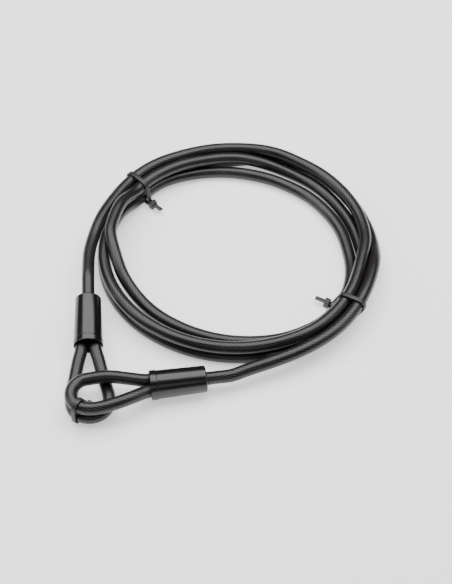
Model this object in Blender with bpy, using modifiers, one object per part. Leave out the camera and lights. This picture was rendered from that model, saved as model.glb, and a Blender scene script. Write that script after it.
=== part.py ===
"""Looped security cable: a steel rope in a plastic jacket with an eye at each end, coiled and tied.

Metres, +Z up. The origin is on the surface the coil lies on, under the middle of the whole object.
Run it with blender --background --python part.py, or from Blender's text editor.
"""

import math

import bmesh
import bpy
import numpy as np
from mathutils import Matrix, Vector

MM = 0.001

# The cable.
CABLE_DIAMETER = 9.9 * MM
ROPE_DIAMETER = 5.8 * MM
JACKET_WALL = 1.35 * MM
COIL_CENTRE = Vector((8.5, 31.2, -0.08)) * MM
COIL_STEP = 10
END_SPACING = 7.5 * MM
TURNS = 4

# Round the coil, in degrees and millimetres: an azimuth, then the radius and height of each turn there.
# The cable winds clockwise seen from above, so the azimuths fall, and each turn goes on into the next.
COIL_STATIONS = (
    (180, (116.2, 18.6), (106.2, 15.4), (102.2, 25.2), (108.4, 5.1)),
    (170, (113.2, 18.8), (103.4, 14.6), (101.4, 25.2), (108.4, 5.2)),
    (160, (110.8, 18.2), (100.6, 13.0), (100.6, 23.8), (109.0, 5.5)),
    (150, (110.0, 17.3), (98.6, 7.3), (99.2, 18.2), (109.2, 6.5)),
    (140, (109.3, 17.2), (97.6, 6.7), (98.6, 17.3), (108.2, 6.7)),
    (130, (108.0, 17.2), (96.2, 6.6), (97.3, 17.1), (106.8, 6.7)),
    (120, (106.6, 16.2), (93.2, 6.0), (95.9, 16.5), (103.8, 5.8)),
    (110, (105.8, 15.3), (90.4, 5.3), (94.9, 15.3), (101.5, 5.2)),
    (90, (104.3, 14.9), (85.0, 5.1), (93.6, 13.9), (100.0, 5.1)),
    (80, (103.4, 15.7), (83.0, 5.1), (94.0, 10.8), (103.2, 5.1)),
    (70, (102.6, 15.6), (81.8, 5.1), (94.4, 7.4), (105.3, 5.1)),
    (60, (101.3, 15.0), (81.0, 5.1), (94.6, 5.4), (106.7, 5.1)),
    (30, (100.8, 14.7), (82.2, 5.1), (93.8, 5.1), (105.8, 5.1)),
    (15, (101.2, 14.7), (84.4, 5.1), (95.0, 5.1), (106.4, 5.1)),
    (0, (100.6, 15.4), (86.9, 5.1), (97.4, 5.1), (107.8, 7.2)),
    (-7, (98.9, 15.8), (89.2, 5.1), (99.8, 5.1), (108.6, 11.6)),
    (-15, (98.7, 16.2), (91.6, 5.5), (102.3, 5.4), (109.0, 14.2)),
    (-28, (100.9, 16.4), (96.4, 6.7), (106.9, 6.7), (111.2, 16.3)),
    (-44, (104.4, 16.4), (99.2, 6.7), (109.8, 6.7), (115.1, 16.0)),
    (-52, (106.0, 16.2), (99.7, 6.1), (111.5, 6.2), (117.0, 15.6)),
    (-60, (107.2, 15.9), (98.8, 5.4), (112.4, 5.6), (118.3, 15.0)),
    (-70, (107.6, 15.6), (97.8, 5.1), (111.4, 5.1), (118.9, 13.6)),
    (-90, (108.8, 15.5), (95.1, 5.1), (109.7, 5.1), None),
    (-120, (110.0, 15.5), (93.1, 5.1), (109.9, 5.1), None),
    (-140, (110.3, 15.5), (94.2, 6.0), (110.3, 5.1), None),
    (-150, (110.2, 15.5), (96.0, 9.6), (110.2, 5.1), None),
    (-157, (109.9, 15.5), (97.8, 13.8), (109.9, 5.1), None),
    (-165, (109.3, 15.4), (98.9, 18.4), (109.4, 5.1), None),
    (-172, (108.0, 15.4), (100.2, 23.0), (108.9, 5.1), None),
)

# Each end fitting: the middle of its open end from the coil's centre, and the way to its closed end.
END_A_MOUTH = Vector((-114.5, -104.5, 12.0)) * MM
END_A_HEADING, END_A_RISE = 93.0, 8.5
END_B_MOUTH = Vector((-66.7, -141.5, 12.0)) * MM
END_B_HEADING, END_B_RISE = 8.7, 0.0

# Both eyes bend round one upright line, eye B on top of eye A.
EYE_CENTRE = Vector((-110.6, -152.9, 0.0)) * MM
EYE_A_RADIUS, EYE_A_HEIGHT = 13.8 * MM, 6.9 * MM
EYE_B_RADIUS, EYE_B_HEIGHT = 13.5 * MM, 17.5 * MM

# The free stretches between the fittings, the eyes and the coil, in millimetres from the coil's centre.
EYE_A_FIRST_LEG = ((-107.0, -113.4, 10.2), (-104.0, -123.6, 8.4), (-99.8, -137.6, 6.9))
EYE_A_LAST_LEG = ((-124.1, -138.4, 6.9), (-122.7, -126.0, 8.0), (-120.9, -114.8, 10.2))
EYE_B_FIRST_LEG = ((-76.0, -137.0, 13.2), (-86.4, -137.0, 15.4), (-99.0, -137.4, 17.5))
EYE_B_LAST_LEG = ((-98.6, -164.4, 17.4), (-86.8, -159.0, 16.4), (-75.4, -151.8, 14.1))
RUN_FROM_A = ((-118.2, -33.0, 20.4), (-118.4, -17.0, 19.4))
RUN_TO_B = ((32.4, -117.2, 14.2), (16.4, -123.4, 13.2), (2.4, -128.6, 12.3))

# The fittings, along their axis from the open end.
COVER_LENGTH = 42.0 * MM
JACKET_END = 2.5 * MM
MAIN_JACKET_START = 27.0 * MM
FERRULE_START, FERRULE_LENGTH = 9.0 * MM, 14.0 * MM
LEG_OFFSET = 5.15 * MM
ROPE_OFFSET = 3.8 * MM
FERRULE_BORE_RADIUS = 3.35 * MM
FERRULE_OUTER_RADIUS = 4.6 * MM

# The cable ties. Each strap is in the upright plane through a place in its bundle at an azimuth. It slides
# along the strands, round a centre this far off on the strands' own normal. A head's place is where the
# strap enters it, along the plane from the bundle's place and above the coil's lowest point.
STRAP_WIDTH = 3.6 * MM
STRAP_THICKNESS = 1.0 * MM
STRAP_CLEARANCE = 0.6 * MM
STRAP_BEND = 1.2 * MM
BUNDLE_REACH = 20.0 * MM
HEAD_WIDTH, HEAD_DEPTH = 6.0 * MM, 4.2 * MM
HEAD_ABOVE_SLOT, HEAD_BELOW_SLOT = 2.0 * MM, 3.9 * MM
HEAD_EDGE = 0.35 * MM
ROOT_DROP, ROOT_INSET = 2.7 * MM, 1.0 * MM
SLOT_CLEARANCE = 0.4 * MM
TIES = {
    "cable_tie_left": {
        "at": Vector((-83.4, 62.9, 0.0)) * MM, "azimuth": 135.0, "head": Vector((-14.6, 4.6)) * MM,
        "tail": 8.0 * MM, "slide_radius": 104.0 * MM, "slide_azimuth": 142.0,
    },
    "cable_tie_right": {
        "at": Vector((84.4, -63.8, 0.0)) * MM, "azimuth": -28.0, "head": Vector((-14.7, 4.6)) * MM,
        "tail": 8.0 * MM, "slide_radius": 104.0 * MM, "slide_azimuth": -31.0,
    },
    "cable_tie_eyes": {
        "at": EYE_CENTRE + Vector((-7.72, -11.44, 0.0)) * MM, "azimuth": 236.0,
        "head": Vector((-6.9, 7.5)) * MM, "tail": 2.4 * MM,
        "slide_radius": 13.8 * MM, "slide_azimuth": 236.0,
    },
}

JACKET_BLACK = (0.018, 0.018, 0.019)
COVER_BLACK = (0.012, 0.012, 0.013)
TIE_BLACK = (0.020, 0.020, 0.021)
STEEL_GREY = (0.55, 0.56, 0.57)
ALUMINIUM_GREY = (0.72, 0.72, 0.73)


def start_scene():
    for item in list(bpy.data.objects):
        bpy.data.objects.remove(item, do_unlink=True)
    groups = {}
    for name in ("looped_security_cable", "cutters"):
        groups[name] = bpy.data.collections.new(name)
        bpy.context.scene.collection.children.link(groups[name])
    return groups["looped_security_cable"], groups["cutters"]


PARTS, CUTTERS = start_scene()


def material(name, colour, roughness, metallic=0.0):
    made = bpy.data.materials.new(name)
    made.use_nodes = True
    shader = made.node_tree.nodes["Principled BSDF"]
    shader.inputs["Base Color"].default_value = (*colour, 1.0)
    shader.inputs["Roughness"].default_value = roughness
    shader.inputs["Metallic"].default_value = metallic
    return made


def linked(name, data, group=PARTS):
    made = bpy.data.objects.new(name, data)
    group.objects.link(made)
    return made


# ---- the cable's route ----


def monotone(stations, values, wanted):
    """Values at the wanted places, on a smooth curve that never overshoots its stations."""
    x, y = np.array(stations, float), np.array(values, float)
    step, rise = np.diff(x), np.diff(y) / np.diff(x)
    slope = np.zeros(len(x))
    slope[0], slope[-1] = rise[0], rise[-1]
    for i in range(1, len(x) - 1):
        if rise[i - 1] * rise[i] > 0:
            before, after = 2 * step[i] + step[i - 1], step[i] + 2 * step[i - 1]
            slope[i] = (before + after) / (before / rise[i - 1] + after / rise[i])
    at = np.clip(np.searchsorted(x, wanted) - 1, 0, len(x) - 2)
    t = (wanted - x[at]) / step[at]
    left = (1 + 2 * t) * (1 - t) ** 2 * y[at] + t * (1 - t) ** 2 * step[at] * slope[at]
    right = t * t * (3 - 2 * t) * y[at + 1] + t * t * (t - 1) * step[at] * slope[at + 1]
    return left + right


def coil_route():
    """The turns of the coil, from beside end A to where the cable leaves for end B."""
    turned, radii, heights = [], [], []
    for turn in range(TURNS):
        for azimuth, *places in COIL_STATIONS:
            if places[turn] is None:
                break
            turned.append(180 - azimuth + 360 * turn)
            radii.append(places[turn][0])
            heights.append(places[turn][1])
    wanted = np.arange(0, turned[-1], COIL_STEP)
    angle = np.radians(180 - wanted)
    radius = monotone(turned, radii, wanted) * MM
    height = monotone(turned, heights, wanted) * MM
    return np.column_stack([radius * np.cos(angle), radius * np.sin(angle), height])


def fitting_frame(mouth, heading, rise):
    """A fitting's frame: Z from its open end to its closed end, X level across its two legs."""
    along = Vector((1, 0, 0))
    along.rotate(Matrix.Rotation(math.radians(-rise), 3, "Y"))
    along.rotate(Matrix.Rotation(math.radians(heading), 3, "Z"))
    across = Vector((0, 0, 1)).cross(along).normalized()
    frame = Matrix((across, along.cross(across), along)).transposed().to_4x4()
    return Matrix.Translation(mouth) @ frame


FRAME_A = fitting_frame(END_A_MOUTH, END_A_HEADING, END_A_RISE)
FRAME_B = fitting_frame(END_B_MOUTH, END_B_HEADING, END_B_RISE)


def in_fitting(frame, places):
    return [tuple(frame @ Vector((across * MM, 0, along * MM))) for across, along in places]


def tail_leg(side):
    """The rope from its cut end to the fitting's open end, as places across and along the fitting."""
    offset, leg = side * ROPE_OFFSET / MM, side * LEG_OFFSET / MM
    return [(offset, 21.5), (offset, 15.5), (offset, 9.5), (leg, 2.5), (leg, -1.0)]


def main_leg(side):
    """The leg that goes on through the fitting, out of its closed end and straight on a little way."""
    offset, leg = side * ROPE_OFFSET / MM, side * LEG_OFFSET / MM
    inside = [(leg, -1.0), (leg, 2.5), (offset, 9.5), (offset, 16.0), (offset, 22.5)]
    joining = [(0.82 * offset, 27.0), (0.36 * offset, 33.5), (0.04 * offset, 40.0)]
    return inside + joining + [(0, 46.5), (0, 53.0), (0, 60.0)]


def arc(radius, height, start, end, count):
    angles = np.radians(np.linspace(start, end, count))
    return [tuple(EYE_CENTRE + Vector((radius * math.cos(a), radius * math.sin(a), height))) for a in angles]


def in_metres(places):
    return [tuple(Vector(place) * MM) for place in places]


def guide():
    """Every point the cable passes, from the rope's end in fitting A to its end in fitting B."""
    start = in_fitting(FRAME_A, tail_leg(-1)) + in_metres(EYE_A_FIRST_LEG)
    start += arc(EYE_A_RADIUS, EYE_A_HEIGHT, -15, -170, 9) + in_metres(EYE_A_LAST_LEG)
    start += in_fitting(FRAME_A, main_leg(1)) + in_metres(RUN_FROM_A)
    end = in_metres(RUN_TO_B) + in_fitting(FRAME_B, main_leg(1)[::-1]) + in_metres(EYE_B_FIRST_LEG)
    end += arc(EYE_B_RADIUS, EYE_B_HEIGHT, 95, 265, 9) + in_metres(EYE_B_LAST_LEG)
    end += in_fitting(FRAME_B, tail_leg(-1)[::-1])
    return start, coil_route(), end


def smooth_through(points, finest):
    """Points along one smooth curve through the guide points, no further apart than finest says."""
    chord = np.linalg.norm(np.diff(points, axis=0), axis=1)
    count = len(points)
    system, wanted = np.eye(count), np.zeros((count, 3))
    for i in range(1, count - 1):
        before, after = chord[i - 1], chord[i]
        system[i, i - 1 : i + 2] = before, 2 * (before + after), after
        wanted[i] = 6 * ((points[i + 1] - points[i]) / after - (points[i] - points[i - 1]) / before)
    bend = np.linalg.solve(system, wanted)
    made = [points[0]]
    for i in range(count - 1):
        pieces = max(1, math.ceil(chord[i] / finest[i] - 0.2))
        for t in np.arange(1, pieces + 1) / pieces:
            s, h = 1 - t, chord[i]
            curve = ((s**3 - s) * bend[i] + (t**3 - t) * bend[i + 1]) * h * h / 6
            made.append(s * points[i] + t * points[i + 1] + curve)
    return np.array(made)


def cable_route():
    start, coil, end = guide()
    points = np.array([*start, *coil, *end])
    last = len(start) + len(coil)
    finest = [END_SPACING] * len(start) + [1.0] * (len(coil) - 1) + [END_SPACING] * (len(points) - last)
    return smooth_through(points, finest) + np.array(COIL_CENTRE)


ROUTE = cable_route()


def nearest(place):
    return int(np.argmin(np.linalg.norm(ROUTE - np.array(place), axis=1)))


def leg_index(frame, side, along, offset):
    """The route's point nearest a place on one leg of a fitting."""
    return nearest(COIL_CENTRE + frame @ Vector((side * offset, 0, along)))


def tube(name, points, diameter, resolution, finish, wall=0.0):
    """A round bar along the points, or a hollow tube if it has a wall."""
    curve = bpy.data.curves.new(name, "CURVE")
    curve.dimensions = "3D"
    curve.twist_mode = "Z_UP"
    curve.bevel_depth = diameter / 2
    curve.bevel_resolution = resolution
    curve.use_fill_caps = wall == 0.0
    spline = curve.splines.new("POLY")
    spline.points.add(len(points) - 1)
    for knot, place in zip(spline.points, points):
        knot.co = (*place, 1.0)
    spline.use_smooth = True
    made = linked(name, curve)
    if wall:
        shell = made.modifiers.new("wall", "SOLIDIFY")
        shell.thickness = wall
        shell.offset = -1.0
        shell.use_even_offset = True
        shell.use_rim = True
    curve.materials.append(finish)
    return made


def make_cable():
    jacket = material("jacket", JACKET_BLACK, 0.28)
    steel = material("steel", STEEL_GREY, 0.35, 1.0)
    tube("wire_rope", ROUTE, ROPE_DIAMETER, 1, steel)
    for letter, frame in (("a", FRAME_A), ("b", FRAME_B)):
        first, last = sorted(leg_index(frame, side, JACKET_END, LEG_OFFSET) for side in (-1, 1))
        tube(f"eye_sheath_{letter}", ROUTE[first : last + 1], CABLE_DIAMETER, 2, jacket, JACKET_WALL)
    first = leg_index(FRAME_A, 1, MAIN_JACKET_START, 0.82 * ROPE_OFFSET)
    last = leg_index(FRAME_B, 1, MAIN_JACKET_START, 0.82 * ROPE_OFFSET)
    tube("main_sheath", ROUTE[first : last + 1], CABLE_DIAMETER, 2, jacket, JACKET_WALL)


# ---- the end fittings ----


def turned(name, profile, steps, finish):
    """A body turned about its own Z axis from a closed profile that runs down its outer side."""
    mesh = bpy.data.meshes.new(name)
    count = len(profile)
    edges = [(i, (i + 1) % count) for i in range(count)]
    mesh.from_pydata([(radius * MM, 0, along * MM) for radius, along in profile], edges, [])
    mesh.materials.append(finish)
    made = linked(name, mesh)
    screw = made.modifiers.new("turn", "SCREW")
    screw.steps = screw.render_steps = steps
    screw.use_merge_vertices = True
    screw.merge_threshold = 0.00001
    screw.use_smooth_shade = True
    return made


def rounded(radius, along, size, start, end, count=3):
    """Profile points round a corner's centre, from one angle to another."""
    angles = [math.radians(start + (end - start) * i / count) for i in range(count + 1)]
    return [(radius + size * math.cos(a), along + size * math.sin(a)) for a in angles]


def cover_profile():
    """From the shoulder's face down the outside to the lip, then up the hollow to the cable's hole."""
    top = COVER_LENGTH / MM
    outside = rounded(8.7, top - 1.3, 1.3, 90, 5) + [(10.85, 5.6)]
    lip = [(11.35, 5.0)] + rounded(10.95, 0.55, 0.55, 0, -90, 2) + rounded(10.9, 0.45, 0.45, -90, -180, 1)
    hollow = [(10.45, 4.4), (9.7, 6.6), (8.95, top - 4.4)]
    hole = [(6.1, top - 3.9), (5.6, top - 3.3), (5.6, top - 0.5), (6.0, top)]
    return outside + lip + hollow + hole


def outline(curve, points):
    spline = curve.splines.new("POLY")
    spline.points.add(len(points) - 1)
    for knot, (x, y) in zip(spline.points, points):
        knot.co = (x, y, 0, 1)
    spline.use_cyclic_u = True


def extruded(name, outlines, thickness):
    """A mesh of flat outlines in the XY plane, holes among them, thickened evenly both ways along Z."""
    curve = bpy.data.curves.new(name, "CURVE")
    curve.dimensions = "2D"
    curve.fill_mode = "BOTH"
    curve.extrude = thickness / 2
    for points in outlines:
        outline(curve, points)
    holder = linked(name, curve)
    graph = bpy.context.evaluated_depsgraph_get()
    mesh = bpy.data.meshes.new_from_object(holder.evaluated_get(graph))
    bpy.data.objects.remove(holder, do_unlink=True)
    body = bmesh.new()
    body.from_mesh(mesh)
    bmesh.ops.remove_doubles(body, verts=body.verts, dist=0.000001)
    bmesh.ops.recalc_face_normals(body, faces=body.faces)
    body.to_mesh(mesh)
    body.free()
    return mesh


def circle(x, y, radius, start=0.0, end=360.0, count=16):
    angles = [math.radians(start + (end - start) * i / count) for i in range(count)]
    return [(x + radius * math.cos(a), y + radius * math.sin(a)) for a in angles]


def ferrule_mesh(finish):
    """An oval sleeve with a hole for each run of the rope, as pressed."""
    radius, offset = FERRULE_OUTER_RADIUS, ROPE_OFFSET
    right = circle(offset, 0, radius, -90, 90, 10) + [(offset, radius)]
    left = circle(-offset, 0, radius, 90, 270, 10) + [(-offset, -radius)]
    holes = [circle(side * offset, 0, FERRULE_BORE_RADIUS) for side in (-1, 1)]
    mesh = extruded("ferrule", [right + left, *holes], FERRULE_LENGTH)
    mesh.transform(Matrix.Translation((0, 0, FERRULE_START + FERRULE_LENGTH / 2)))
    mesh.materials.clear()
    mesh.materials.append(finish)
    return mesh


def make_fittings():
    plastic = material("cover_plastic", COVER_BLACK, 0.32)
    aluminium = material("aluminium", ALUMINIUM_GREY, 0.4, 1.0)
    for letter, frame in (("a", FRAME_A), ("b", FRAME_B)):
        placed = Matrix.Translation(COIL_CENTRE) @ frame
        ferrule = linked(f"ferrule_{letter}", ferrule_mesh(aluminium))
        cover = turned(f"ferrule_cover_{letter}", cover_profile(), 32, plastic)
        ferrule.matrix_world = cover.matrix_world = placed


# ---- the cable ties ----


def outward(azimuth):
    return Vector((math.cos(math.radians(azimuth)), math.sin(math.radians(azimuth)), 0))


def crossings(shape):
    """Where the bundle crosses a tie's plane, anticlockwise from the lower inner strand."""
    offset = ROUTE - np.array(COIL_CENTRE + shape["at"])
    offset[:, 2] = ROUTE[:, 2]
    along = offset @ np.array(outward(shape["azimuth"]))
    aside = offset @ np.array(outward(shape["azimuth"] + 90))
    found = []
    for i in np.flatnonzero(aside[:-1] * aside[1:] <= 0):
        share = aside[i] / (aside[i] - aside[i + 1])
        distance = along[i] + share * (along[i + 1] - along[i])
        if abs(distance) < BUNDLE_REACH:
            found.append(Vector((distance, offset[i, 2] + share * (offset[i + 1, 2] - offset[i, 2]))))
    middle = sum(found, Vector((0, 0))) / len(found)
    found.sort(key=lambda place: math.atan2(place.y - middle.y, place.x - middle.x))
    first = found.index(min(found, key=sum))
    return found[first:] + found[:first]


def around(members):
    """Points round a convex ring of circles, each a centre and a radius, anticlockwise from the first."""
    normals = []
    for i, (centre, radius) in enumerate(members):
        before, reach = members[i - 1]
        step = centre - before
        normals.append(math.atan2(step.y, step.x) - math.acos((reach - radius) / step.length))
    made = []
    for i, (centre, radius) in enumerate(members):
        turn = (normals[(i + 1) % len(members)] - normals[i]) % math.tau
        steps = max(1, round(turn / math.radians(22))) if radius else 0
        for angle in np.linspace(normals[i], normals[i] + turn, steps + 1):
            made.append(centre + radius * Vector((math.cos(angle), math.sin(angle))))
    return made


def ribbon(path, thickness):
    """The outline of a strip of even thickness along a path."""
    left, right = [], []
    for i, place in enumerate(path):
        before, after = path[max(i - 1, 0)], path[min(i + 1, len(path) - 1)]
        into, out = (place - before), (after - place)
        into = into.normalized() if i else out.normalized()
        out = out.normalized() if i < len(path) - 1 else into
        middle = (into + out).normalized()
        side = Vector((-middle.y, middle.x)) * (thickness / 2 / max(0.6, middle.dot(into)))
        left.append(place + side)
        right.append(place - side)
    return [tuple(place) for place in left + right[::-1]]


def strap_path(strands, entry, tail):
    """The tail's tip, the slot, up and over the bundle and round under it, and back to the head's root."""
    reach = CABLE_DIAMETER / 2 + STRAP_CLEARANCE + STRAP_THICKNESS / 2
    root = entry - Vector((STRAP_BEND + ROOT_INSET, ROOT_DROP))
    members = [(strand, reach) for strand in strands] + [(entry, 0), (root, 0)]
    loop = around(members)[:-2][::-1]
    tip = entry - Vector((STRAP_BEND + HEAD_DEPTH + tail, 0))
    into = entry - Vector((STRAP_BEND, 0))
    out = entry + (loop[0] - entry).normalized() * STRAP_BEND
    bend = [into * (1 - t) ** 2 + 2 * t * (1 - t) * entry + t * t * out for t in (0, 0.25, 0.5, 0.75, 1)]
    return [tip] + bend + loop + [root]


def box(name, low, high, edge=0.0):
    """A block between two corners, its edges cut back if edge says so, to be joined to or cut from another."""
    mesh = bpy.data.meshes.new(name)
    body = bmesh.new()
    bmesh.ops.create_cube(body, size=1.0)
    for vertex in body.verts:
        vertex.co = [lo + (hi - lo) * (c + 0.5) for lo, hi, c in zip(low, high, vertex.co)]
    if edge:
        bmesh.ops.bevel(body, geom=body.edges[:], offset=edge, segments=1, affect="EDGES")
    body.to_mesh(mesh)
    body.free()
    return linked(name, mesh, CUTTERS)


def combine(target, other, operation):
    cut = target.modifiers.new(operation.lower(), "BOOLEAN")
    cut.object = other
    cut.operation = operation
    cut.solver = "EXACT"
    other.hide_render = True
    other.display_type = "WIRE"


def tie_head(name, entry):
    """The head: a block with a slot through it for the strap."""
    near = entry.x - STRAP_BEND
    far, wide = near - HEAD_DEPTH, HEAD_WIDTH / 2
    low, high = entry.y - HEAD_BELOW_SLOT, entry.y + HEAD_ABOVE_SLOT
    head = box(f"{name}_head", (far, -wide, low), (near, wide, high), HEAD_EDGE)
    tall, wide = STRAP_THICKNESS / 2 + SLOT_CLEARANCE, STRAP_WIDTH / 2 + SLOT_CLEARANCE
    slot = box(f"{name}_slot", (far - MM, -wide, entry.y - tall), (near + MM, wide, entry.y + tall))
    combine(head, slot, "DIFFERENCE")
    return head, slot


def make_tie(name, shape, finish):
    """A strap round the strands that cross its plane, its origin at the centre it slides round."""
    path = strap_path(crossings(shape), shape["head"], shape["tail"])
    mesh = extruded(name, [ribbon(path, STRAP_THICKNESS)], STRAP_WIDTH)
    mesh.transform(Matrix.Rotation(math.pi / 2, 4, "X"))
    mesh.materials.clear()
    mesh.materials.append(finish)
    tie = linked(name, mesh)
    head, slot = tie_head(name, shape["head"])
    combine(tie, head, "UNION")
    from_centre = shape["slide_radius"] * outward(shape["slide_azimuth"])
    turned_in = Matrix.Translation(from_centre) @ Matrix.Rotation(math.radians(shape["azimuth"]), 4, "Z")
    for item in (tie, head, slot):
        item.data.transform(turned_in)
        item.location = COIL_CENTRE + shape["at"] - from_centre
        item.location.z = 0


def make_ties():
    nylon = material("nylon", TIE_BLACK, 0.45)
    for name, shape in TIES.items():
        make_tie(name, shape, nylon)


make_cable()
make_fittings()
make_ties()
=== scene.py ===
"""The looped security cable, dressed: a smoky jacket over a twisted rope, sleeves, ties and a studio."""

import math

import bmesh
import bpy
import numpy as np
from mathutils import Matrix, Vector


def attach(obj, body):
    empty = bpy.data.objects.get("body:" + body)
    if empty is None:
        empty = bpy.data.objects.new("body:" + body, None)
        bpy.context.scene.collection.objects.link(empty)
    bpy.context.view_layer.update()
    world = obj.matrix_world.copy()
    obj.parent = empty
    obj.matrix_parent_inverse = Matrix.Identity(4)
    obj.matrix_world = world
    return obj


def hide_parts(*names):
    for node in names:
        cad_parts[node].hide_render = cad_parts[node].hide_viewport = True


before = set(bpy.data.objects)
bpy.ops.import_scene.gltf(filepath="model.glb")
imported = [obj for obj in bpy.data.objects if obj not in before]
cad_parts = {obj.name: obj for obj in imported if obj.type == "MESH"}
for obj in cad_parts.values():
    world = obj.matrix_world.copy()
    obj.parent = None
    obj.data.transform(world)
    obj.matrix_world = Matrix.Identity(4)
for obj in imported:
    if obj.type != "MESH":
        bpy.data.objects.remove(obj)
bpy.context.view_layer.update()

MM = 0.001

# The cable, and how many degrees apart the coil's guide points are.
CABLE_DIAMETER = 9.9 * MM
COIL_CENTRE = Vector((8.5, 31.2, -0.08)) * MM
COIL_STEP = 10
TURNS = 4

# Round the coil, in degrees and millimetres: an azimuth, then the radius and height of each turn there.
# The cable winds clockwise seen from above, so the azimuths fall, and each turn goes on into the next.
COIL_STATIONS = (
    (180, (116.2, 18.6), (106.2, 15.4), (102.2, 25.2), (108.4, 5.1)),
    (170, (113.2, 18.8), (103.4, 14.6), (101.4, 25.2), (108.4, 5.2)),
    (160, (110.8, 18.2), (100.6, 13.0), (100.6, 23.8), (109.0, 5.5)),
    (150, (110.0, 17.3), (98.6, 7.3), (99.2, 18.2), (109.2, 6.5)),
    (140, (109.3, 17.2), (97.6, 6.7), (98.6, 17.3), (108.2, 6.7)),
    (130, (108.0, 17.2), (96.2, 6.6), (97.3, 17.1), (106.8, 6.7)),
    (120, (106.6, 16.2), (93.2, 6.0), (95.9, 16.5), (103.8, 5.8)),
    (110, (105.8, 15.3), (90.4, 5.3), (94.9, 15.3), (101.5, 5.2)),
    (90, (104.3, 14.9), (85.0, 5.1), (93.6, 13.9), (100.0, 5.1)),
    (80, (103.4, 15.7), (83.0, 5.1), (94.0, 10.8), (103.2, 5.1)),
    (70, (102.6, 15.6), (81.8, 5.1), (94.4, 7.4), (105.3, 5.1)),
    (60, (101.3, 15.0), (81.0, 5.1), (94.6, 5.4), (106.7, 5.1)),
    (30, (100.8, 14.7), (82.2, 5.1), (93.8, 5.1), (105.8, 5.1)),
    (15, (101.2, 14.7), (84.4, 5.1), (95.0, 5.1), (106.4, 5.1)),
    (0, (100.6, 15.4), (86.9, 5.1), (97.4, 5.1), (107.8, 7.2)),
    (-7, (98.9, 15.8), (89.2, 5.1), (99.8, 5.1), (108.6, 11.6)),
    (-15, (98.7, 16.2), (91.6, 5.5), (102.3, 5.4), (109.0, 14.2)),
    (-28, (100.9, 16.4), (96.4, 6.7), (106.9, 6.7), (111.2, 16.3)),
    (-44, (104.4, 16.4), (99.2, 6.7), (109.8, 6.7), (115.1, 16.0)),
    (-52, (106.0, 16.2), (99.7, 6.1), (111.5, 6.2), (117.0, 15.6)),
    (-60, (107.2, 15.9), (98.8, 5.4), (112.4, 5.6), (118.3, 15.0)),
    (-70, (107.6, 15.6), (97.8, 5.1), (111.4, 5.1), (118.9, 13.6)),
    (-90, (108.8, 15.5), (95.1, 5.1), (109.7, 5.1), None),
    (-120, (110.0, 15.5), (93.1, 5.1), (109.9, 5.1), None),
    (-140, (110.3, 15.5), (94.2, 6.0), (110.3, 5.1), None),
    (-150, (110.2, 15.5), (96.0, 9.6), (110.2, 5.1), None),
    (-157, (109.9, 15.5), (97.8, 13.8), (109.9, 5.1), None),
    (-165, (109.3, 15.4), (98.9, 18.4), (109.4, 5.1), None),
    (-172, (108.0, 15.4), (100.2, 23.0), (108.9, 5.1), None),
)

# Each end fitting: the middle of its open end from the coil's centre, and the way to its closed end.
END_A_MOUTH = Vector((-114.5, -104.5, 12.0)) * MM
END_A_HEADING, END_A_RISE = 93.0, 8.5
END_B_MOUTH = Vector((-66.7, -141.5, 12.0)) * MM
END_B_HEADING, END_B_RISE = 8.7, 0.0

# Both eyes bend round one upright line, eye B on top of eye A.
EYE_CENTRE = Vector((-110.6, -152.9, 0.0)) * MM
EYE_A_RADIUS, EYE_A_HEIGHT = 13.8 * MM, 6.9 * MM
EYE_B_RADIUS, EYE_B_HEIGHT = 13.5 * MM, 17.5 * MM

# The free stretches between the fittings, the eyes and the coil, in millimetres from the coil's centre.
EYE_A_FIRST_LEG = ((-107.0, -113.4, 10.2), (-104.0, -123.6, 8.4), (-99.8, -137.6, 6.9))
EYE_A_LAST_LEG = ((-124.1, -138.4, 6.9), (-122.7, -126.0, 8.0), (-120.9, -114.8, 10.2))
EYE_B_FIRST_LEG = ((-76.0, -137.0, 13.2), (-86.4, -137.0, 15.4), (-99.0, -137.4, 17.5))
EYE_B_LAST_LEG = ((-98.6, -164.4, 17.4), (-86.8, -159.0, 16.4), (-75.4, -151.8, 14.1))
RUN_FROM_A = ((-118.2, -33.0, 20.4), (-118.4, -17.0, 19.4))
RUN_TO_B = ((32.4, -117.2, 14.2), (16.4, -123.4, 13.2), (2.4, -128.6, 12.3))

# The fittings, along their axis from the open end. Where the main jacket starts, the rope has this share of
# its offset in the ferrule left.
COVER_LENGTH = 42.0 * MM
JACKET_END = 2.5 * MM
MAIN_JACKET_START = 27.0 * MM
LEG_OFFSET = 5.15 * MM
ROPE_OFFSET = 3.8 * MM
SHARE_AT_JACKET = 0.82

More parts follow.
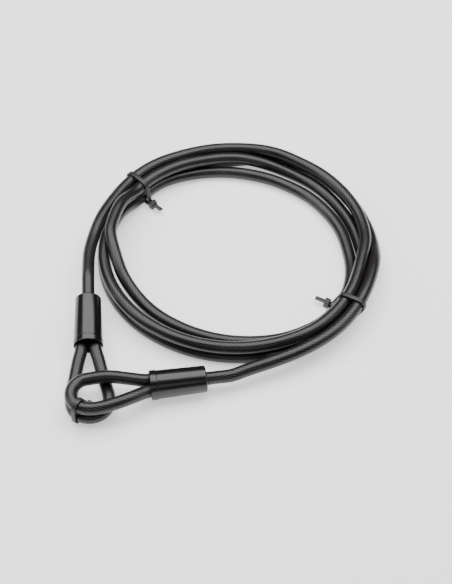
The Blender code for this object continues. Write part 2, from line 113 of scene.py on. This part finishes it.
# The cable ties. Each strap is in the upright plane through a place in its bundle at an azimuth. A head's
# place is where the strap enters it, along the plane from the bundle's place and above the floor.
STRAP_WIDTH = 3.6 * MM
STRAP_THICKNESS = 1.0 * MM
STRAP_CLEARANCE = 0.6 * MM
STRAP_BEND = 1.2 * MM
BUNDLE_REACH = 20.0 * MM
HEAD_WIDTH, HEAD_DEPTH = 6.0 * MM, 4.2 * MM
HEAD_ABOVE_SLOT, HEAD_BELOW_SLOT = 2.0 * MM, 3.9 * MM
HEAD_EDGE = 0.35 * MM
POCKET_INSET, POCKET_DEPTH, POCKET_EDGE = 0.9 * MM, 0.35 * MM, 0.15 * MM
POCKET_SHARE = 0.8
ROOT_DROP, ROOT_INSET = 2.7 * MM, 1.0 * MM
SLOT_CLEARANCE = 0.4 * MM
TIES = {
    "cable_tie_left": {
        "at": Vector((-83.4, 62.9, 0.0)) * MM, "azimuth": 135.0, "head": Vector((-14.6, 4.6)) * MM,
        "tail": 8.0 * MM,
    },
    "cable_tie_right": {
        "at": Vector((84.4, -63.8, 0.0)) * MM, "azimuth": -28.0, "head": Vector((-14.7, 4.6)) * MM,
        "tail": 8.0 * MM,
    },
    "cable_tie_eyes": {
        "at": EYE_CENTRE + Vector((-7.72, -11.44, 0.0)) * MM, "azimuth": 236.0,
        "head": Vector((-6.9, 7.5)) * MM, "tail": 2.4 * MM,
    },
}

# The picture's own sizes.
RING_SIDES = 24
LATHE_SIDES = 96
RING_SPACING = 2.6 * MM
ROPE_LAY = 52.0 * MM
ROPE_MARKS = 13
STRAP_EDGE = 0.3 * MM
TEETH_PITCH = 1.15 * MM
COVER_CREASE, TIE_CREASE = math.radians(50), math.radians(40)

CAMERA_FROM_COIL = Vector((-10.484, -804.437, 909.761)) * MM
CAMERA_TILT = 40.0
CAMERA_LENS, CAMERA_SENSOR = 119.9, 36.0
CAMERA_CLIP = 0.05, 20.0

# The studio, in metres and watts: each softbox's place, its width and height, and its power.
FLOOR_REACH = 25.0
WORLD_STRENGTH = 0.05
STUDIO_AIM = Vector((0, 0, 0))
SOFTBOXES = {
    "box_above": ((0.0, 0.35, 1.25), (2.2, 1.3), 44.0),
    "box_left": ((-1.4, -0.1, 0.9), (0.7, 1.3), 8.0),
    "box_right": ((1.4, -0.2, 0.9), (0.7, 1.3), 4.0),
    "box_front": ((0.0, -1.6, 1.2), (1.8, 0.6), 3.0),
}


# ---- the cable's route, as in the solids ----


def monotone(stations, values, wanted):
    """Values at the wanted places, on a smooth curve that never overshoots its stations."""
    x, y = np.array(stations, float), np.array(values, float)
    step, rise = np.diff(x), np.diff(y) / np.diff(x)
    slope = np.zeros(len(x))
    slope[0], slope[-1] = rise[0], rise[-1]
    for i in range(1, len(x) - 1):
        if rise[i - 1] * rise[i] > 0:
            before, after = 2 * step[i] + step[i - 1], step[i] + 2 * step[i - 1]
            slope[i] = (before + after) / (before / rise[i - 1] + after / rise[i])
    at = np.clip(np.searchsorted(x, wanted) - 1, 0, len(x) - 2)
    t = (wanted - x[at]) / step[at]
    left = (1 + 2 * t) * (1 - t) ** 2 * y[at] + t * (1 - t) ** 2 * step[at] * slope[at]
    right = t * t * (3 - 2 * t) * y[at + 1] + t * t * (t - 1) * step[at] * slope[at + 1]
    return left + right


def coil_route():
    """The turns of the coil, from beside end A to where the cable leaves for end B."""
    turned, radii, heights = [], [], []
    for turn in range(TURNS):
        for azimuth, *places in COIL_STATIONS:
            if places[turn] is None:
                break
            turned.append(180 - azimuth + 360 * turn)
            radii.append(places[turn][0])
            heights.append(places[turn][1])
    wanted = np.arange(0, turned[-1], COIL_STEP)
    angle = np.radians(180 - wanted)
    radius = monotone(turned, radii, wanted) * MM
    height = monotone(turned, heights, wanted) * MM
    return np.column_stack([radius * np.cos(angle), radius * np.sin(angle), height])


def fitting_frame(mouth, heading, rise):
    """A fitting's frame: Z from its open end to its closed end, X level across its two legs."""
    along = Vector((1, 0, 0))
    along.rotate(Matrix.Rotation(math.radians(-rise), 3, "Y"))
    along.rotate(Matrix.Rotation(math.radians(heading), 3, "Z"))
    across = Vector((0, 0, 1)).cross(along).normalized()
    turned = Matrix((across, along.cross(across), along)).transposed().to_4x4()
    return Matrix.Translation(mouth) @ turned


FRAME_A = fitting_frame(END_A_MOUTH, END_A_HEADING, END_A_RISE)
FRAME_B = fitting_frame(END_B_MOUTH, END_B_HEADING, END_B_RISE)


def in_fitting(fitting, places):
    return [tuple(fitting @ Vector((across * MM, 0, along * MM))) for across, along in places]


def tail_leg(side):
    """The rope from its cut end in the ferrule to the open end, as places across and along the fitting."""
    offset, leg = side * ROPE_OFFSET / MM, side * LEG_OFFSET / MM
    return [(offset, 21.5), (offset, 15.5), (offset, 9.5), (leg, 2.5), (leg, -1.0)]


def main_leg(side):
    """The leg that goes on through the fitting, out of its closed end and straight on a little way."""
    offset, leg = side * ROPE_OFFSET / MM, side * LEG_OFFSET / MM
    inside = [(leg, -1.0), (leg, 2.5), (offset, 9.5), (offset, 16.0), (offset, 22.5)]
    joining = [(SHARE_AT_JACKET * offset, 27.0), (0.36 * offset, 33.5), (0.04 * offset, 40.0)]
    return inside + joining + [(0, 46.5), (0, 53.0), (0, 60.0)]


def arc(radius, height, start, end, count):
    angles = np.radians(np.linspace(start, end, count))
    ways = [Vector((radius * math.cos(angle), radius * math.sin(angle), height)) for angle in angles]
    return [tuple(EYE_CENTRE + way) for way in ways]


def in_metres(places):
    return [tuple(Vector(place) * MM) for place in places]


def guide():
    """The points that the cable passes: from its end in fitting A, round the coil, to that in fitting B."""
    start = in_fitting(FRAME_A, tail_leg(-1)) + in_metres(EYE_A_FIRST_LEG)
    start += arc(EYE_A_RADIUS, EYE_A_HEIGHT, -15, -170, 9) + in_metres(EYE_A_LAST_LEG)
    start += in_fitting(FRAME_A, main_leg(1)) + in_metres(RUN_FROM_A)
    end = in_metres(RUN_TO_B) + in_fitting(FRAME_B, main_leg(1)[::-1]) + in_metres(EYE_B_FIRST_LEG)
    end += arc(EYE_B_RADIUS, EYE_B_HEIGHT, 95, 265, 9) + in_metres(EYE_B_LAST_LEG)
    end += in_fitting(FRAME_B, tail_leg(-1)[::-1])
    return start, coil_route(), end


def smooth_through(points, spacing):
    """Points along one smooth curve through the guide points, about a spacing apart."""
    chord = np.linalg.norm(np.diff(points, axis=0), axis=1)
    count = len(points)
    system, wanted = np.eye(count), np.zeros((count, 3))
    for i in range(1, count - 1):
        before, after = chord[i - 1], chord[i]
        system[i, i - 1 : i + 2] = before, 2 * (before + after), after
        wanted[i] = 6 * ((points[i + 1] - points[i]) / after - (points[i] - points[i - 1]) / before)
    bend = np.linalg.solve(system, wanted)
    made = [points[0]]
    for i in range(count - 1):
        pieces = max(1, math.ceil(chord[i] / spacing - 0.2))
        for t in np.arange(1, pieces + 1) / pieces:
            s, h = 1 - t, chord[i]
            curve = ((s**3 - s) * bend[i] + (t**3 - t) * bend[i + 1]) * h * h / 6
            made.append(s * points[i] + t * points[i + 1] + curve)
    return np.array(made)


def cable_route():
    start, coil, end = guide()
    points = np.array([*start, *coil, *end])
    return smooth_through(points, RING_SPACING) + np.array(COIL_CENTRE)


ROUTE = cable_route()


def nearest(place):
    return int(np.argmin(np.linalg.norm(ROUTE - np.array(place), axis=1)))


# ---- the studio ----


def make_camera():
    data = bpy.data.cameras.new("camera")
    data.sensor_fit = "HORIZONTAL"
    data.sensor_width = CAMERA_SENSOR
    data.lens = CAMERA_LENS
    data.clip_start, data.clip_end = CAMERA_CLIP
    camera = bpy.data.objects.new("camera", data)
    camera.location = COIL_CENTRE + CAMERA_FROM_COIL
    camera.rotation_euler = (math.radians(CAMERA_TILT), 0, 0)
    bpy.context.scene.collection.objects.link(camera)
    bpy.context.scene.camera = camera


def softbox(name, place, size, power):
    data = bpy.data.lights.new(name, "AREA")
    data.shape = "RECTANGLE"
    data.size, data.size_y = size
    data.energy = power
    made = bpy.data.objects.new(name, data)
    made.location = place
    made.rotation_euler = (STUDIO_AIM - Vector(place)).to_track_quat("-Z", "Y").to_euler()
    bpy.context.scene.collection.objects.link(made)


def make_studio():
    for name, (place, size, power) in SOFTBOXES.items():
        softbox(name, place, size, power)
    world = bpy.context.scene.world or bpy.data.worlds.new("studio")
    bpy.context.scene.world = world
    world.use_nodes = True
    backdrop = world.node_tree.nodes["Background"]
    backdrop.inputs["Color"].default_value = (1.0, 1.0, 1.0, 1.0)
    backdrop.inputs["Strength"].default_value = WORLD_STRENGTH


# ---- materials ----


class Finish:
    """A material being built: its shader, and short ways to add and join its nodes."""

    def __init__(self, name, roughness, metallic=0.0):
        self.material = bpy.data.materials.new(name)
        self.material.use_nodes = True
        self.tree = self.material.node_tree
        self.shader = self.tree.nodes["Principled BSDF"]
        self.set("Roughness", roughness)
        self.set("Metallic", metallic)

    def set(self, socket, value):
        self.shader.inputs[socket].default_value = value

    def node(self, kind, **settings):
        made = self.tree.nodes.new(kind)
        for key, value in settings.items():
            setattr(made, key, value)
        return made

    def join(self, output, socket):
        self.tree.links.new(output, socket)

    def maths(self, operation, first, second=0.0, third=0.0):
        made = self.node("ShaderNodeMath", operation=operation)
        for socket, value in zip(made.inputs, (first, second, third)):
            if isinstance(value, bpy.types.NodeSocket):
                self.join(value, socket)
            else:
                socket.default_value = value
        return made.outputs[0]

    def noise(self, scale, detail=3.0, roughness=0.55):
        place = self.node("ShaderNodeNewGeometry")
        made = self.node("ShaderNodeTexNoise")
        made.inputs["Scale"].default_value = scale
        made.inputs["Detail"].default_value = detail
        made.inputs["Roughness"].default_value = roughness
        self.join(place.outputs["Position"], made.inputs["Vector"])
        return made.outputs[0]

    def ramp(self, value, *stops):
        made = self.node("ShaderNodeValToRGB")
        points = made.color_ramp.elements
        while len(points) < len(stops):
            points.new(1.0)
        for point, (place, colour) in zip(points, stops):
            point.position = place
            point.color = (*colour, 1.0)
        self.join(value, made.inputs["Fac"])
        return made.outputs["Color"]

    def span(self, value, low, high):
        made = self.node("ShaderNodeMapRange")
        made.inputs["To Min"].default_value = low
        made.inputs["To Max"].default_value = high
        self.join(value, made.inputs["Value"])
        return made.outputs["Result"]

    def bump(self, height, distance, strength=1.0):
        made = self.node("ShaderNodeBump")
        made.inputs["Strength"].default_value = strength
        made.inputs["Distance"].default_value = distance
        self.join(height, made.inputs["Height"])
        self.join(made.outputs["Normal"], self.shader.inputs["Normal"])

    def colour(self, output):
        self.join(output, self.shader.inputs["Base Color"])

    def rough(self, output):
        self.join(output, self.shader.inputs["Roughness"])

    def along(self):
        """How far along a piece, in metres, and how far round it, from 0 to 1."""
        place = self.node("ShaderNodeUVMap", uv_map="along")
        split = self.node("ShaderNodeSeparateXYZ")
        self.join(place.outputs["UV"], split.inputs[0])
        return split.outputs["X"], split.outputs["Y"]


def jacket_finish():
    """Smoky vinyl: nearly black, with the twisted rope showing dimly through it and raising it a little."""
    made = Finish("smoky_jacket", 0.2)
    run, turn = made.along()
    phase = made.maths("MULTIPLY_ADD", run, 1 / ROPE_LAY, turn)
    wave = made.maths("SINE", made.maths("MULTIPLY", phase, ROPE_MARKS * math.tau))
    strand = made.maths("MULTIPLY_ADD", wave, 0.5, 0.5)
    shown = made.maths("MULTIPLY", strand, made.span(made.noise(45.0), 0.3, 1.2))
    made.colour(made.ramp(shown, (0.0, (0.0018, 0.0017, 0.0016)), (0.5, (0.0105, 0.0096, 0.0092)),
                          (1.0, (0.052, 0.046, 0.0435))))
    made.rough(made.span(made.noise(120.0), 0.24, 0.36))
    made.set("IOR", 1.46)
    made.bump(made.maths("MULTIPLY_ADD", wave, 0.5, made.noise(220.0)), 0.045 * MM, 0.5)
    return made.material


def cover_finish():
    """Satin black moulded plastic, with faint mottling and uneven polish."""
    made = Finish("cover_plastic", 0.25)
    made.colour(made.ramp(made.noise(60.0), (0.3, (0.0025, 0.0025, 0.0027)),
                          (0.75, (0.005, 0.005, 0.0053))))
    made.rough(made.span(made.noise(70.0, 4.0), 0.2, 0.3))
    made.set("Coat Weight", 0.15)
    made.set("Coat Roughness", 0.2)
    made.bump(made.noise(110.0, 2.0), 0.04 * MM, 0.35)
    return made.material


def nylon_finish():
    """Black nylon, with moulded teeth across the strap's inner face."""
    made = Finish("nylon", 0.4)
    run, turn = made.along()
    teeth = made.maths("SINE", made.maths("MULTIPLY", run, math.tau / TEETH_PITCH))
    inside = made.maths("LESS_THAN", made.maths("ABSOLUTE", made.maths("SUBTRACT", turn, 0.75)), 0.16)
    ribs = made.maths("MULTIPLY", made.maths("MULTIPLY", teeth, inside), 0.6)
    made.colour(made.ramp(made.noise(90.0), (0.3, (0.010, 0.010, 0.011)), (0.75, (0.018, 0.018, 0.019))))
    made.rough(made.span(made.noise(300.0, 4.0), 0.34, 0.5))
    made.bump(made.maths("ADD", ribs, made.noise(1800.0)), 0.12 * MM, 0.6)
    return made.material


def metal_finish(name, dark, light, scale):
    """Bare metal, mottled, with dull patches and a fine grain."""
    made = Finish(name, 0.4, 1.0)
    made.colour(made.ramp(made.noise(scale, 6.0, 0.7), (0.25, dark), (0.8, light)))
    made.rough(made.span(made.noise(scale * 4), 0.3, 0.5))
    made.bump(made.noise(scale * 9), 0.03 * MM, 0.5)
    return made.material


def floor_finish():
    made = Finish("paper", 0.75)
    made.colour(made.ramp(made.noise(3.0), (0.2, (0.90, 0.90, 0.90)), (0.8, (0.93, 0.93, 0.93))))
    made.set("Specular IOR Level", 0.25)
    made.set("Emission Color", (1.0, 1.0, 1.0, 1.0))
    made.set("Emission Strength", 0.7)
    return made.material


# ---- pieces ----


def new_piece(name, body, finish, carrier, node):
    mesh = bpy.data.meshes.new(name)
    body.to_mesh(mesh)
    body.free()
    mesh.materials.append(finish)
    made = bpy.data.objects.new(name, mesh)
    bpy.context.scene.collection.objects.link(made)
    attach(made, carrier)
    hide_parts(node)
    return made


def swept(points, sides_at):
    """A body swept along points: sides_at gives each ring's corners, and each face notes run and turn."""
    body = bmesh.new()
    layer = body.loops.layers.uv.new("along")
    run = np.concatenate([[0], np.cumsum(np.linalg.norm(np.diff(points, axis=0), axis=1))])
    rings = [[body.verts.new(corner) for corner in sides_at(i)] for i in range(len(points))]
    count = len(rings[0])
    for i in range(len(rings) - 1):
        for k in range(count):
            n = (k + 1) % count
            face = body.faces.new((rings[i][k], rings[i][n], rings[i + 1][n], rings[i + 1][k]))
            face.smooth = True
            marks = ((run[i], k), (run[i], k + 1), (run[i + 1], k + 1), (run[i + 1], k))
            for loop, (length, side) in zip(face.loops, marks):
                loop[layer].uv = (length, side / count)
    body.faces.new(rings[0][::-1])
    body.faces.new(rings[-1])
    return body


def carried(points):
    """The path's direction at each point, and one across it that never twists about it."""
    ways = np.gradient(points, axis=0)
    ways /= np.linalg.norm(ways, axis=1)[:, None]
    across = [np.cross(ways[0], (0.0, 0.0, 1.0))]
    across[0] /= np.linalg.norm(across[0])
    for way in ways[1:]:
        kept = across[-1] - way * np.dot(across[-1], way)
        across.append(kept / np.linalg.norm(kept))
    return ways, np.array(across)


def tube(points, diameter):
    ways, across = carried(points)
    up = np.cross(across, ways)
    angles = np.linspace(0, math.tau, RING_SIDES, endpoint=False)

    def sides_at(i):
        return [points[i] + diameter / 2 * (math.cos(a) * across[i] + math.sin(a) * up[i]) for a in angles]

    return swept(points, sides_at)


def jacket_piece(name, points, node, finish):
    """One length of jacket."""
    piece = new_piece(name, tube(points, CABLE_DIAMETER), finish, "cable", node)


def leg_index(fitting, side, along, offset):
    return nearest(COIL_CENTRE + fitting @ Vector((side * offset, 0, along)))


def make_jacket():
    finish = jacket_finish()
    for letter, fitting in (("a", FRAME_A), ("b", FRAME_B)):
        first, last = sorted(leg_index(fitting, side, JACKET_END, LEG_OFFSET) for side in (-1, 1))
        jacket_piece(f"eye_jacket_{letter}", ROUTE[first : last + 1], f"eye_sheath_{letter}", finish)
    first = leg_index(FRAME_A, 1, MAIN_JACKET_START, SHARE_AT_JACKET * ROPE_OFFSET)
    last = leg_index(FRAME_B, 1, MAIN_JACKET_START, SHARE_AT_JACKET * ROPE_OFFSET)
    jacket_piece("coil_jacket", ROUTE[first : last + 1], "main_sheath", finish)


def rounded(radius, along, size, start, end, count=3):
    """Profile points round a corner's centre, from one angle to another."""
    angles = [math.radians(start + (end - start) * i / count) for i in range(count + 1)]
    return [(radius + size * math.cos(a), along + size * math.sin(a)) for a in angles]


def cover_profile():
    """The cover's closed profile with its round corners and its groove drawn finely."""
    top = COVER_LENGTH / MM
    shoulder = [(6.3, top)] + rounded(8.7, top - 1.3, 1.3, 90, 5, 8)
    groove = [(10.86, 5.9), (10.8, 5.55), (10.82, 5.3), (11.0, 5.12), (11.18, 5.06)]
    lip = rounded(11.1, 4.78, 0.25, 80, 0, 3) + rounded(10.95, 0.55, 0.4, 0, -90, 4)
    rim = rounded(10.85, 0.45, 0.3, -90, -180, 3)
    hollow = [(10.45, 4.4), (9.7, 6.6), (8.95, top - 4.4)]
    hole = [(6.1, top - 3.9), (5.6, top - 3.3), (5.6, top - 0.6)]
    hole += rounded(6.3, top - 0.7, 0.7, 180, 90, 4)[:-1]
    return shoulder + groove + lip + rim + hollow + hole


def lathe(profile, placed):
    body = bmesh.new()
    rings = []
    for angle in np.linspace(0, math.tau, LATHE_SIDES, endpoint=False):
        side, up = math.cos(angle), math.sin(angle)
        rings.append([body.verts.new(placed @ (Vector((r * side, r * up, z)) * MM)) for r, z in profile])
    for ring, after in zip(rings, rings[1:] + rings[:1]):
        for k in range(len(profile)):
            n = (k + 1) % len(profile)
            body.faces.new((ring[k], ring[n], after[n], after[k])).smooth = True
    bmesh.ops.recalc_face_normals(body, faces=body.faces)
    return body


def make_covers():
    finish = cover_finish()
    for letter, fitting in (("a", FRAME_A), ("b", FRAME_B)):
        body = lathe(cover_profile(), Matrix.Translation(COIL_CENTRE) @ fitting)
        node, carrier = f"ferrule_cover_{letter}", f"cover_{letter}"
        piece = new_piece(f"sleeve_{letter}", body, finish, carrier, node)
        piece.data.set_sharp_from_angle(angle=COVER_CREASE)


# ---- the cable ties ----


def outward(azimuth):
    return Vector((math.cos(math.radians(azimuth)), math.sin(math.radians(azimuth)), 0))


def crossings(shape):
    """Where the bundle crosses a tie's plane, anticlockwise from the lower inner strand."""
    offset = ROUTE - np.array(COIL_CENTRE + shape["at"])
    offset[:, 2] = ROUTE[:, 2]
    along = offset @ np.array(outward(shape["azimuth"]))
    aside = offset @ np.array(outward(shape["azimuth"] + 90))
    found = []
    for i in np.flatnonzero(aside[:-1] * aside[1:] <= 0):
        share = aside[i] / (aside[i] - aside[i + 1])
        distance = along[i] + share * (along[i + 1] - along[i])
        if abs(distance) < BUNDLE_REACH:
            found.append(Vector((distance, offset[i, 2] + share * (offset[i + 1, 2] - offset[i, 2]))))
    middle = sum(found, Vector((0, 0))) / len(found)
    found.sort(key=lambda place: math.atan2(place.y - middle.y, place.x - middle.x))
    first = found.index(min(found, key=sum))
    return found[first:] + found[:first]


def around(members):
    """Points round a convex ring of circles, each a centre and a radius, anticlockwise from the first."""
    normals = []
    for i, (centre, radius) in enumerate(members):
        before, reach = members[i - 1]
        step = centre - before
        normals.append(math.atan2(step.y, step.x) - math.acos((reach - radius) / step.length))
    made = []
    for i, (centre, radius) in enumerate(members):
        turn = (normals[(i + 1) % len(members)] - normals[i]) % math.tau
        steps = max(1, round(turn / math.radians(22))) if radius else 0
        for angle in np.linspace(normals[i], normals[i] + turn, steps + 1):
            made.append(centre + radius * Vector((math.cos(angle), math.sin(angle))))
    return made


def strap_path(strands, entry, tail):
    """The tail's tip, the slot, up and over the bundle and round under it, and back to the head's root."""
    reach = CABLE_DIAMETER / 2 + STRAP_CLEARANCE + STRAP_THICKNESS / 2
    root = entry - Vector((STRAP_BEND + ROOT_INSET, ROOT_DROP))
    loop = around([(strand, reach) for strand in strands] + [(entry, 0), (root, 0)])[:-2][::-1]
    tip = entry - Vector((STRAP_BEND + HEAD_DEPTH + tail, 0))
    into = entry - Vector((STRAP_BEND, 0))
    out = entry + (loop[0] - entry).normalized() * STRAP_BEND
    bend = [into * (1 - t) ** 2 + 2 * t * (1 - t) * entry + t * t * out for t in (0, 0.25, 0.5, 0.75, 1)]
    return [tip] + bend + loop + [root]


def rounded_oblong(wide, tall, edge):
    """The strap's section: an oblong with round edges, its outer face first."""
    made = []
    for x, y, start in ((1, 1, 0), (-1, 1, 90), (-1, -1, 180), (1, -1, 270)):
        for angle in np.radians(np.linspace(start, start + 90, 4)):
            made.append((x * (wide / 2 - edge) + edge * math.cos(angle),
                         y * (tall / 2 - edge) + edge * math.sin(angle)))
    return made


def strap_body(path):
    """The strap along its path in the tie's plane, X out along the plane, Y across it and Z up."""
    points = np.array([(place.x, 0, place.y) for place in path])
    steps = np.linalg.norm(np.diff(points, axis=0), axis=1)
    points = points[np.concatenate([[True], steps > 0.02 * MM])]
    ways = np.gradient(points, axis=0)
    ways /= np.linalg.norm(ways, axis=1)[:, None]
    section = rounded_oblong(STRAP_WIDTH, STRAP_THICKNESS, STRAP_EDGE)

    def sides_at(i):
        out = np.cross(ways[i], (0.0, 1.0, 0.0))
        return [points[i] + np.array((0, across, 0)) + out * up for across, up in section]

    return swept(points, sides_at)


def block(low, high, edge, segments):
    body = bmesh.new()
    bmesh.ops.create_cube(body, size=1.0)
    for vertex in body.verts:
        vertex.co = [lo + (hi - lo) * (c + 0.5) for lo, hi, c in zip(low, high, vertex.co)]
    if edge:
        bmesh.ops.bevel(
            body, geom=body.edges[:], offset=edge, segments=segments, profile=0.5, affect="EDGES"
        )
    mesh = bpy.data.meshes.new("block")
    body.to_mesh(mesh)
    body.free()
    made = bpy.data.objects.new("block", mesh)
    bpy.context.scene.collection.objects.link(made)
    return made


def cut_out(target, cutters):
    """A target's mesh with each cutter taken out of it in turn."""
    for cutter in cutters:
        cut = target.modifiers.new("cut", "BOOLEAN")
        cut.object, cut.operation, cut.solver = cutter, "DIFFERENCE", "EXACT"
    graph = bpy.context.evaluated_depsgraph_get()
    mesh = bpy.data.meshes.new_from_object(target.evaluated_get(graph))
    for item in [target, *cutters]:
        bpy.data.objects.remove(item, do_unlink=True)
    return mesh


def head_mesh(entry):
    """The head: a soft-edged block with the strap's slot through it and a shallow pocket in its top."""
    near = entry.x - STRAP_BEND
    far, wide = near - HEAD_DEPTH, HEAD_WIDTH / 2
    low, high = entry.y - HEAD_BELOW_SLOT, entry.y + HEAD_ABOVE_SLOT
    head = block((far, -wide, low), (near, wide, high), HEAD_EDGE, 3)
    tall, deep = STRAP_THICKNESS / 2 + SLOT_CLEARANCE, STRAP_WIDTH / 2 + SLOT_CLEARANCE
    slot = block((far - MM, -deep, entry.y - tall), (near + MM, deep, entry.y + tall), 0, 1)
    pocket_low = (far + POCKET_INSET, -deep * POCKET_SHARE, high - POCKET_DEPTH)
    pocket_high = (near - POCKET_INSET, deep * POCKET_SHARE, high + MM)
    return cut_out(head, [slot, block(pocket_low, pocket_high, POCKET_EDGE, 2)])


def make_ties():
    finish = nylon_finish()
    for name, shape in TIES.items():
        path = strap_path(crossings(shape), shape["head"], shape["tail"])
        middle = COIL_CENTRE + shape["at"]
        middle.z = 0
        placed = Matrix.Translation(middle) @ Matrix.Rotation(math.radians(shape["azimuth"]), 4, "Z")
        body = strap_body(path)
        body.from_mesh(head_mesh(shape["head"]))
        bmesh.ops.transform(body, matrix=placed, verts=body.verts)
        side = name.rsplit("_", 1)[1]
        piece = new_piece(f"tie_{side}_strap", body, finish, f"tie_{side}", name)
        piece.data.shade_smooth()
        piece.data.set_sharp_from_angle(angle=TIE_CREASE)


def dress_hidden_metal():
    """The rope and ferrules inside keep their solids and get their metal."""
    steel = metal_finish("galvanised_steel", (0.33, 0.33, 0.34), (0.62, 0.62, 0.63), 300.0)
    aluminium = metal_finish("pressed_aluminium", (0.5, 0.5, 0.51), (0.74, 0.74, 0.75), 120.0)
    for node, finish in (("wire_rope", steel), ("ferrule_a", aluminium), ("ferrule_b", aluminium)):
        for place in bpy.data.objects[node].material_slots:
            place.material = finish


def make_floor():
    mesh = bpy.data.meshes.new("floor")
    corners = [(x * FLOOR_REACH, y * FLOOR_REACH, 0) for x, y in ((-1, -1), (1, -1), (1, 1), (-1, 1))]
    mesh.from_pydata(corners, [], [(0, 1, 2, 3)])
    mesh.materials.append(floor_finish())
    floor = bpy.data.objects.new("floor", mesh)
    bpy.context.scene.collection.objects.link(floor)


make_camera()
make_jacket()
make_covers()
make_ties()
dress_hidden_metal()
make_floor()
make_studio()
